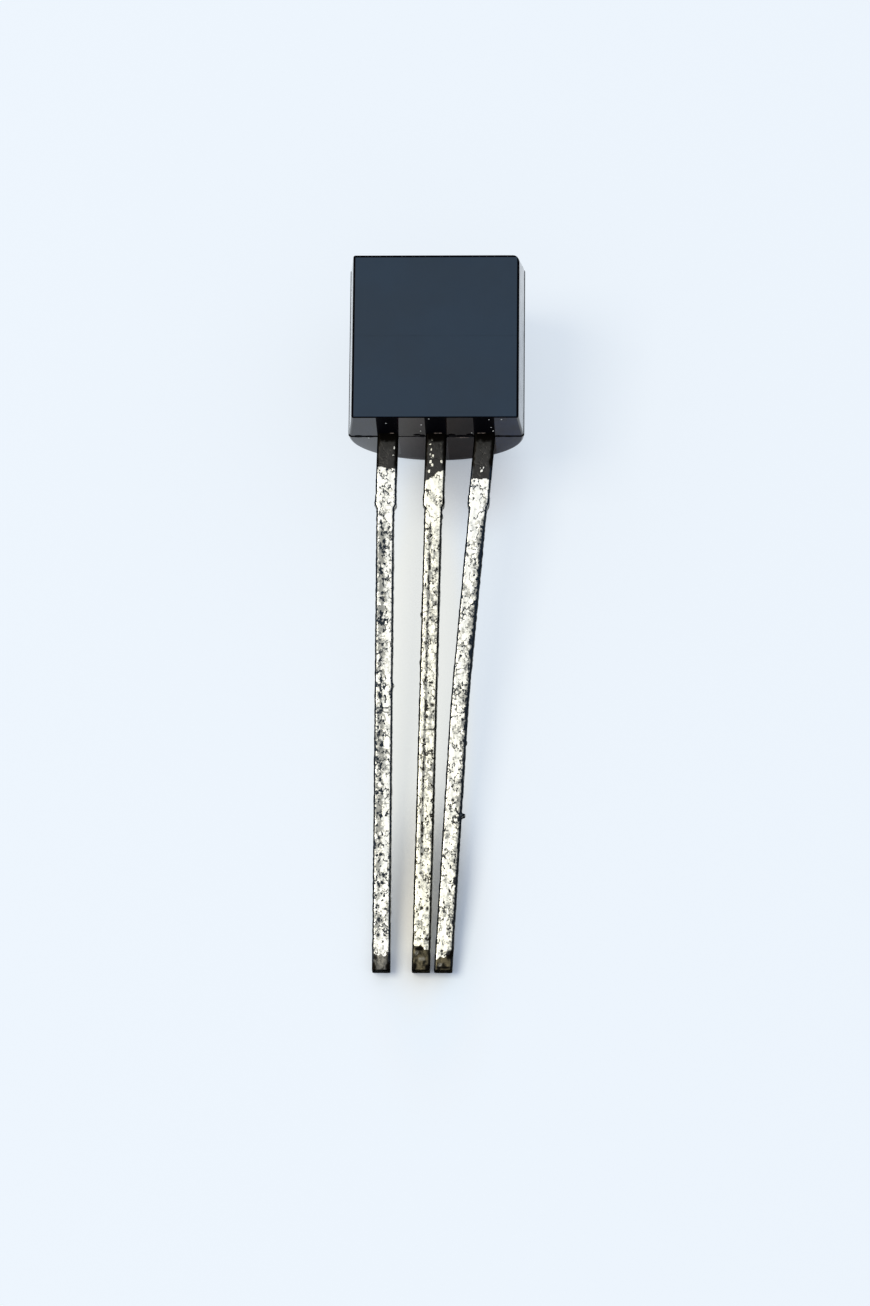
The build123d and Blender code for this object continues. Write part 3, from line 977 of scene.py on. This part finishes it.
class LeadMesh:
    """Points, faces and marks of one lead, swept along its centre line ring by ring."""

    def __init__(self, form, settings):
        self.form = form
        self.solder = settings.solder_thickness / MM
        self.tip_x = MOUNTS[form.mount]["pos_m"][0] / MM
        self.verts = []
        self.faces = []
        self.marks = {name: [] for name in LEAD_MARKS}
        rings = [self.inner_ring(*step) for step in form.inner]
        root = (form.exit_x - ROOT_WIDTH / 2, form.exit_x + ROOT_WIDTH / 2)
        rings.append(self.inner_ring(form.inner[-1][0], *root))
        rows = int((LEAD_LENGTH + POCKET_DEPTH) / ROW_STEP)
        for row in range(rows + 1):
            rings.append(self.outer_ring(-POCKET_DEPTH + (LEAD_LENGTH + POCKET_DEPTH) * row / rows))
        rings.append(self.outer_ring(LEAD_LENGTH, shrink=TIP_SHRINK))
        for near, far in zip(rings, rings[1:]):
            for i, here in enumerate(near):
                self.faces.append((here, near[i - 1], far[i - 1], far[i]))
        self.faces.append(rings[0])
        self.faces.append(rings[-1])

    def centre(self, distance):
        """Where the middle of the lead is, across, at a distance from the body."""
        form = self.form
        first = form.bend_drift / (form.bend_at - EXIT_LENGTH)
        second = (self.tip_x - form.exit_x - form.bend_drift) / (LEAD_LENGTH - form.bend_at)
        drift = first * soft_ramp(distance - EXIT_LENGTH, EXIT_BEND_REACH)
        drift += (second - first) * soft_ramp(distance - form.bend_at, LOWER_BEND_REACH)
        return form.exit_x + drift

    def half_width(self, distance):
        """Half the width of the stamped strip, with the cut dam bar's stubs."""
        narrowing = smooth_step(distance, ROOT_LENGTH - SHANK_FADE, ROOT_LENGTH + SHANK_FADE)
        half = ROOT_WIDTH / 2 + (SHANK_WIDTH - ROOT_WIDTH) / 2 * narrowing
        stub_start = ROOT_LENGTH - STUB_LENGTH
        stub = smooth_step(distance, stub_start - STUB_FADE, stub_start + STUB_FADE)
        return half + STUB_SEEN * stub * (1 - narrowing)

    def section(self, left, right, radius):
        """A rounded rectangle, as (x, z, nx, nz, place across, how much of an edge it is)."""
        half = LEAD_THICKNESS / 2
        middle, reach = (left + right) / 2, (right - left) / 2
        section = []
        for i in range(TOP_CELLS):
            u = -1 + 2 * i / TOP_CELLS
            section.append((middle + u * (reach - radius), half, 0.0, 1.0, u * (1 - radius / reach), 0.0))
        self.corner(section, right - radius, half - radius, radius, pi / 2, 1)
        for i in range(SIDE_CELLS):
            z = (half - radius) * (1 - 2 * i / SIDE_CELLS)
            section.append((right, z, 1.0, 0.0, 1.0, 0.0))
        self.corner(section, right - radius, radius - half, radius, 0.0, 1)
        for i in range(BOTTOM_CELLS):
            u = 1 - 2 * i / BOTTOM_CELLS
            section.append((middle + u * (reach - radius), -half, 0.0, -1.0, u * (1 - radius / reach), 0.0))
        self.corner(section, left + radius, radius - half, radius, -pi / 2, -1)
        for i in range(SIDE_CELLS):
            z = (half - radius) * (2 * i / SIDE_CELLS - 1)
            section.append((left, z, -1.0, 0.0, -1.0, 0.0))
        self.corner(section, left + radius, half - radius, radius, -pi, -1)
        return section

    def corner(self, section, x, z, radius, start, side):
        """Adds a quarter round, clockwise from its start angle."""
        for i in range(CORNER_CELLS):
            turn = start - pi / 2 * i / CORNER_CELLS
            nx, nz = cos(turn), sin(turn)
            u = side * (CORNER_PLACE + (1 - CORNER_PLACE) * abs(nx))
            section.append((x + radius * nx, z + radius * nz, nx, nz, u, 2 * abs(nx * nz)))

    def keep(self, x, y, z, **marks):
        """Adds a point with its marks and gives its number."""
        self.verts.append((x, y, z))
        for name, values in self.marks.items():
            values.append(marks.get(name, 0.0))
        return len(self.verts) - 1

    def inner_ring(self, high, left, right):
        """A ring inside the body, where the lead frame is plain stamped strip."""
        return [self.keep(x, high, z) for x, z, *rest in self.section(left, right, INNER_EDGE_RADIUS)]

    def outer_ring(self, distance, shrink=0.0):
        """A ring outside the body, with solder lumps, ragged edges and burrs."""
        form = self.form
        middle = self.centre(distance)
        half = self.half_width(distance)
        body_cream, tip_cream = form.cream
        cream = body_cream + (tip_cream - body_cream) * max(distance, 0.0) / LEAD_LENGTH
        outline = self.section(middle - half + shrink, middle + half - shrink, LEAD_EDGE_RADIUS)
        ring = []
        for x, z, nx, nz, u, edge in outline:
            z *= 1 - shrink / (LEAD_THICKNESS / 2)
            spot = Vector((x + form.seed, distance, z))
            ragged = noise.noise(spot * RAGGED_WAVES)
            tin = self.tin_cover(distance, u, ragged)
            push = self.push(distance, spot, nx, tin)
            if nz < UNDER_FACING:
                push = min(push, 0.0)
            marks = {"tin": tin, "edge": edge, "grime": UNDERSIDE_GRIME, "cream": cream,
                     "tip": smooth_step(distance, *TIP_METAL)}
            if nz > -EDGE_FACING:
                marks["grime"] = self.grime(distance, u)
            if nz > 0:
                marks["edge"] = max(edge, self.shaded_side(distance, u, ragged))
                marks["dark"] = self.dark(distance, u, ragged)
                marks["beads"] = self.blots(form.beads, distance, u, ragged)
                marks["worn"] = self.blots(form.worn, distance, u, ragged)
            ring.append(self.keep(x + nx * push, -distance, z + nz * push, **marks))
        return ring

    def push(self, distance, spot, nx, tin):
        """How far solder lumps, wandering edges and burrs move a point outward."""
        lumps = sum(share * noise.noise(spot * waves) for share, waves in LUMP_WAVES)
        push = self.solder * lumps * tin
        if abs(nx) > EDGE_FACING:
            push += EDGE_WANDER * tin * noise.noise(spot * EDGE_WAVES)
            for burr_at, side, reach in self.form.burrs:
                if side * nx > EDGE_FACING and spot.z > BURR_LOW:
                    push += reach * exp(-((distance - burr_at) / BURR_LENGTH) ** 2)
        return push

    def tin_cover(self, distance, u, ragged):
        """1 where solder covers the metal, 0 on the bare root and tip."""
        start_left, start_right = self.form.tin_start
        start = start_left + (start_right - start_left) * (u + 1) / 2 + TIN_START_WANDER * ragged
        end_left, end_middle, end_right = self.form.tin_end
        end_edge = end_right if u > 0 else end_left
        end = end_middle + (end_edge - end_middle) * u * u + TIN_END_WANDER * ragged
        return stretch(distance, start, end, TIN_EDGE, TIN_EDGE)

    def grime(self, distance, u):
        """How dull and pitted the solder is: along the streak, and all over one side."""
        place, width, start, end, strength = self.form.streak
        along = stretch(distance, start, end, STREAK_RISE, LOWER_FALL)
        streak = strength * exp(-((u - place) / width) ** 2) * along
        cleaner = CLEANER_START * (1 - smooth_step(distance, *CLEANER_END))
        return streak + u * self.form.dull_side - cleaner

    def shaded_side(self, distance, u, ragged):
        """Painted shade: the dark band along the right side of a lead."""
        inner, start, end, strength = self.form.dark_side
        along = stretch(distance, start, end, SHADE_RISE, LOWER_FALL, SHADE_DROP)
        return strength * along * smooth_step(u + SHADE_WANDER * ragged, inner, 1.0)

    def dark(self, distance, u, ragged):
        """Dark blots, and painted shade where the lead leaves the body and along the root's edges."""
        leaving = 1 - smooth_step(distance + BODY_SHADE_WANDER * ragged, BODY_SHADE_LENGTH, BODY_SHADE_LENGTH + BODY_SHADE_FADE)
        beside = smooth_step(abs(u) + SHADED_ROOT_EDGE_WANDER * ragged, *SHADED_ROOT_EDGE)
        beside *= 1 - smooth_step(distance, *SHADED_ROOT_EDGE_END)
        return max(leaving, beside, self.blots(self.form.marks, distance, u, ragged))

    def blots(self, blots, distance, u, ragged):
        """The strongest of some blots, with ragged rims."""
        strongest = 0.0
        for at, place, length, width in blots:
            away = hypot((distance - at) / length, (u - place) / width) + BLOT_WANDER * ragged
            strongest = max(strongest, 1 - smooth_step(away, *BLOT_RIM))
        return strongest


# Specks of solder, smudges of painted shade and lips with a painted highlight on the lead end, each as
# (place across, height, width, height of the splash)

SPLASH_DEPTH = 0.012
SPECKS = (
    (-1.29, 0.87, 0.04, 0.04), (-0.37, 0.76, 0.05, 0.07), (-0.4, 0.35, 0.04, 0.06),
    (-0.47, 0.12, 0.05, 0.04), (-0.16, 1.15, 0.04, 0.05), (0.94, 0.23, 0.05, 0.06),
    (1.5, 0.35, 0.05, 0.07), (1.41, 1.1, 0.04, 0.04), (1.45, 0.58, 0.04, 0.05),
    (1.73, 1.1, 0.05, 0.06), (-1.78, -0.12, 0.06, 0.05),
)
# Dark smudges along the parting line: painted shade
SHADE_SMUDGES = (
    (-2.05, 0.0, 0.3, 0.16), (-1.75, -0.01, 0.3, 0.14), (-0.5, 0.1, 0.22, 0.12), (-0.36, 0.02, 0.16, 0.2),
    (0.4, 0.05, 0.25, 0.22), (0.65, 0.02, 0.35, 0.14), (0.88, 0.05, 0.22, 0.24), (1.62, 0.0, 0.2, 0.14),
    (1.9, -0.01, 0.3, 0.13),
)
# Lips at the lead exits and below the parting line, with tan colour as a painted highlight
LIP_HIGHLIGHTS = ((-1.16, 0.22, 0.13, 0.03), (0.05, 0.22, 0.24, 0.035), (1.19, 0.22, 0.25, 0.035),
              (0.68, -0.1, 0.4, 0.05))


# Operators

class TRANSISTOR_OT_epoxy_body(bpy.types.Operator):
    """Moulds the epoxy body"""
    bl_idname = "transistor.epoxy_body"
    bl_label = "Epoxy body"

    def execute(self, context):
        settings = context.scene.transistor_epoxy
        form = BodyMesh(settings)
        finishes = [finish(settings) for finish in (flat_finish, edge_finish, skin_finish, gate_finish)]
        finishes += lead_end_finishes()
        body = finished_piece("moulded_body", form.verts, form.faces, finishes, BODY_SHARP)
        body.data.polygons.foreach_set("material_index", form.finishes)
        weighted = body.modifiers.new("Flat faces stay flat", "WEIGHTED_NORMAL")
        weighted.keep_sharp = True
        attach(body, "root")
        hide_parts("epoxy_body")
        return {"FINISHED"}


class TRANSISTOR_OT_leads(bpy.types.Operator):
    """Makes the three solder-dipped leads"""
    bl_idname = "transistor.leads"
    bl_label = "Leads"

    def execute(self, context):
        settings = context.scene.transistor_leads
        material = solder_finish(settings)
        for lead in LEADS:
            form = LeadMesh(lead, settings)
            piece = finished_piece("tinned_" + lead.node, form.verts, form.faces, (material,), LEAD_SHARP)
            for name, values in form.marks.items():
                mark = piece.data.attributes.new(name, "FLOAT", "POINT")
                mark.data.foreach_set("value", values)
            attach(piece, "root")
            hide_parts(lead.node)
        return {"FINISHED"}


class TRANSISTOR_OT_solder_specks(bpy.types.Operator):
    """Splashes solder, lips with a painted highlight and smudges of painted shade on the lead end"""
    bl_idname = "transistor.solder_specks"
    bl_label = "Solder specks"

    def execute(self, context):
        work = bmesh.new()
        made = 0
        for finish, splashes in enumerate((SPECKS, LIP_HIGHLIGHTS, SHADE_SMUDGES)):
            for x, z, width, height in splashes:
                place = Matrix.Translation((x, end_level(z, False), z))
                shape = Matrix.Diagonal((width / 2, SPLASH_DEPTH, height / 2, 1.0))
                bmesh.ops.create_icosphere(work, subdivisions=2, radius=1.0, matrix=PACKAGE @ place @ shape)
            work.faces.ensure_lookup_table()
            for face in work.faces[made:]:
                face.material_index = finish
            made = len(work.faces)
        mesh = bpy.data.meshes.new("solder_specks")
        work.to_mesh(mesh)
        work.free()
        mesh.shade_smooth()
        mesh.materials.append(speck_finish(context.scene.transistor_leads))
        mesh.materials.append(lip_highlight_finish())
        mesh.materials.append(edge_finish(context.scene.transistor_epoxy))
        specks = add_object("solder_specks", mesh)
        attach(specks, "root")
        return {"FINISHED"}


class TRANSISTOR_OT_inner_pieces(bpy.types.Operator):
    """Finishes the die and the bond wires inside the body"""
    bl_idname = "transistor.inner_pieces"
    bl_label = "Die and bond wires"

    def execute(self, context):
        wire = bond_wire_finish()
        finishes = {"silicon_die": silicon_finish(), "base_bond_wire": wire, "emitter_bond_wire": wire}
        for node, material in finishes.items():
            for slot in frame["nodes"][node].material_slots:
                slot.material = material
        return {"FINISHED"}


class TRANSISTOR_OT_stage(bpy.types.Operator):
    """Lays the paper and sets the light and the camera"""
    bl_idname = "transistor.stage"
    bl_label = "Stage"

    def execute(self, context):
        settings = context.scene.transistor_stage
        lay_paper(settings)
        light_sky(settings)
        hang_key(settings)
        set_camera(settings)
        context.scene.view_settings.view_transform = "Standard"
        return {"FINISHED"}


# Stage, in metres

PAPER_HALF = 0.5
PAPER_DROP = 0.00002
PAPER_FIBRE = 0.25                           # in millimetres, like the grain of the finishes
# Places where the paper looks different, with the distances at which that starts and ends to fade
CONTACT_MIDDLE = (0.65 * MM, 4.6 * MM, 0.0)  # where the shade under the body is deepest
CONTACT_REACH = (0.3 * MM, 2.2 * MM)
MIRRORED_REACH = (0.8 * MM, 2.8 * MM)        # the same, as the lead end mirrors it
LEADS_MIDDLE = (-0.35 * MM, -2.6 * MM, 0.0)  # the paper between the leads, warmed with painted light from their solder
LEADS_STRETCH = (6.0, 1.0, 1.0)
LEADS_REACH = (5.5 * MM, 9.0 * MM)
TIPS_MIDDLE = (0.0, -9.0 * MM, 0.0)          # where the shade beside the leads is deepest
TIPS_STRETCH = (2.6, 1.0, 1.0)
TIPS_REACH = (1.5 * MM, 6.2 * MM)
KEY_DISTANCE = 0.32
KEY_SIZE = 0.15
KEY_HEADING = radians(-92)
SENSOR_WIDTH = 36
CLIP_START, CLIP_END = 0.01, 2.0


def direction(heading, elevation):
    """A unit vector, by its turn from +Y towards +X and its angle above the paper."""
    level = cos(elevation)
    return Vector((sin(heading) * level, cos(heading) * level, sin(elevation)))


def seen_rays(nodes, links):
    """1 for rays from the camera, and for those that reach it by way of gloss or glass."""
    rays = nodes.new("ShaderNodeLightPath")
    seen = rays.outputs["Is Camera Ray"]
    for kind in ("Is Glossy Ray", "Is Transmission Ray"):
        either = nodes.new("ShaderNodeMath")
        either.operation = "MAXIMUM"
        links.new(seen, either.inputs[0])
        links.new(rays.outputs[kind], either.inputs[1])
        seen = either.outputs["Value"]
    return seen


def lay_paper(settings):
    """A large pale sheet, just under the object, whose shade is lifted as on bright paper."""
    finish = Finish("paper")
    fibre = finish.grain(PAPER_FIBRE, detail=4.0, roughness=0.6)
    from_tips = finish.step(finish.away(TIPS_MIDDLE, TIPS_STRETCH), *TIPS_REACH)
    from_leads = finish.step(finish.away(LEADS_MIDDLE, LEADS_STRETCH), *LEADS_REACH)
    # Painted light: the paper is bluer in the shade close to the tips, and paper and lift are warmer
    # between the leads as if lit by their solder
    colour = finish.blend(from_tips, settings.shaded_paper_colour, settings.paper_colour)
    colour = finish.blend(from_leads, settings.warm_paper_colour, colour)
    material = finish.paint(Base_Color=colour, Roughness=0.9, Specular_IOR_Level=0.0,
                            Normal=finish.bump(fibre, 0.006, 0.3))
    glow = finish.nodes.new("ShaderNodeEmission")
    glow_colour = finish.blend(from_leads, settings.warm_glow_colour, settings.glow_colour)
    finish.fill(glow.inputs["Color"], glow_colour)
    finish.fill(glow.inputs["Strength"], settings.glow_strength)
    mix = finish.nodes.new("ShaderNodeMixShader")
    from_body = finish.away(CONTACT_MIDDLE)
    body_lift = finish.step(from_body, *CONTACT_REACH, settings.contact_lift, settings.paper_lift)
    leads_lift = finish.step(from_tips, 0.0, 1.0, settings.tip_lift, settings.paper_lift)
    lift = finish.calc("MINIMUM", body_lift, leads_lift)
    mirrored_lift = finish.step(from_body, *MIRRORED_REACH, 0.0, settings.paper_lift)
    rays = finish.nodes.new("ShaderNodeLightPath").outputs
    mirrored = finish.calc("MAXIMUM", rays["Is Glossy Ray"], rays["Is Transmission Ray"])
    share = finish.calc("MAXIMUM", finish.calc("MULTIPLY", rays["Is Camera Ray"], lift),
                        finish.calc("MULTIPLY", mirrored, mirrored_lift))
    finish.fill(mix.inputs[0], share)
    finish.fill(mix.inputs[1], finish.shader.outputs["BSDF"])
    finish.fill(mix.inputs[2], glow.outputs["Emission"])
    finish.fill(finish.nodes["Material Output"].inputs["Surface"], mix.outputs["Shader"])
    corners = [(-PAPER_HALF, -PAPER_HALF), (PAPER_HALF, -PAPER_HALF),
               (PAPER_HALF, PAPER_HALF), (-PAPER_HALF, PAPER_HALF)]
    mesh = bpy.data.meshes.new("paper")
    mesh.from_pydata([(x, y, -PAPER_DROP) for x, y in corners], [], [(0, 1, 2, 3)])
    mesh.materials.append(material)
    paper = add_object("paper", mesh)


def light_sky(settings):
    """Even light from all round, seen as white by the camera and in reflections."""
    world = bpy.data.worlds.new("sky")
    bpy.context.scene.world = world
    world.use_nodes = True
    nodes, links = world.node_tree.nodes, world.node_tree.links
    light = nodes["Background"]
    light.inputs["Color"].default_value = (*settings.sky_colour, 1.0)
    light.inputs["Strength"].default_value = settings.sky_strength
    backdrop = nodes.new("ShaderNodeBackground")
    backdrop.inputs["Color"].default_value = (*settings.backdrop_colour, 1.0)
    mix = nodes.new("ShaderNodeMixShader")
    links.new(seen_rays(nodes, links), mix.inputs[0])
    links.new(light.outputs["Background"], mix.inputs[1])
    links.new(backdrop.outputs["Background"], mix.inputs[2])
    links.new(mix.outputs["Shader"], nodes["World Output"].inputs["Surface"])


def hang_key(settings):
    """A soft square lamp on the left."""
    lamp = bpy.data.lights.new("key", "AREA")
    lamp.energy = settings.key_power
    lamp.size = KEY_SIZE
    lamp.color = settings.key_colour
    key = add_object("key", lamp)
    toward = direction(KEY_HEADING, settings.key_elevation)
    key.location = toward * KEY_DISTANCE
    key.rotation_mode = "QUATERNION"
    key.rotation_quaternion = (-toward).to_track_quat("-Z", "Y")


def set_camera(settings):
    """Looks down over the leads at the flat face."""
    data = bpy.data.cameras.new("camera")
    data.lens = settings.camera_lens
    data.sensor_width = SENSOR_WIDTH
    data.clip_start = CLIP_START
    data.clip_end = CLIP_END
    camera = add_object("camera", data)
    forward = direction(settings.camera_heading, -settings.camera_elevation)
    camera.location = Vector(settings.camera_aim) - forward * settings.camera_distance
    camera.rotation_mode = "QUATERNION"
    upright = forward.to_track_quat("-Z", "Y")
    roll = Matrix.Rotation(settings.camera_roll, 3, "Z").to_quaternion()
    camera.rotation_quaternion = upright @ roll
    bpy.context.scene.camera = camera


# Add-on

class VIEW3D_PT_transistor(bpy.types.Panel):
    """Lists the operators in the sidebar"""
    bl_label = "Transistor"
    bl_idname = "VIEW3D_PT_transistor"
    bl_space_type = "VIEW_3D"
    bl_region_type = "UI"
    bl_category = "Transistor"

    def draw(self, context):
        for operator in OPERATORS:
            self.layout.operator(operator.bl_idname)


OPERATORS = (
    TRANSISTOR_OT_epoxy_body,
    TRANSISTOR_OT_leads,
    TRANSISTOR_OT_solder_specks,
    TRANSISTOR_OT_inner_pieces,
    TRANSISTOR_OT_stage,
)
SETTINGS = {
    "transistor_epoxy": EpoxySettings,
    "transistor_leads": LeadSettings,
    "transistor_stage": StageSettings,
}


def register():
    """Adds the settings, the operators and the panel."""
    for settings in SETTINGS.values():
        bpy.utils.register_class(settings)
    for name, settings in SETTINGS.items():
        setattr(bpy.types.Scene, name, PointerProperty(type=settings))
    for operator in OPERATORS:
        bpy.utils.register_class(operator)
    bpy.utils.register_class(VIEW3D_PT_transistor)


def unregister():
    """Takes them away again."""
    bpy.utils.unregister_class(VIEW3D_PT_transistor)
    for operator in reversed(OPERATORS):
        bpy.utils.unregister_class(operator)
    for name in SETTINGS:
        delattr(bpy.types.Scene, name)
    for settings in reversed(SETTINGS.values()):
        bpy.utils.unregister_class(settings)


def main():
    """Makes every piece and the stage."""
    register()
    bpy.ops.transistor.epoxy_body()
    bpy.ops.transistor.leads()
    bpy.ops.transistor.solder_specks()
    bpy.ops.transistor.inner_pieces()
    bpy.ops.transistor.stage()


if __name__ == "__main__":
    main()
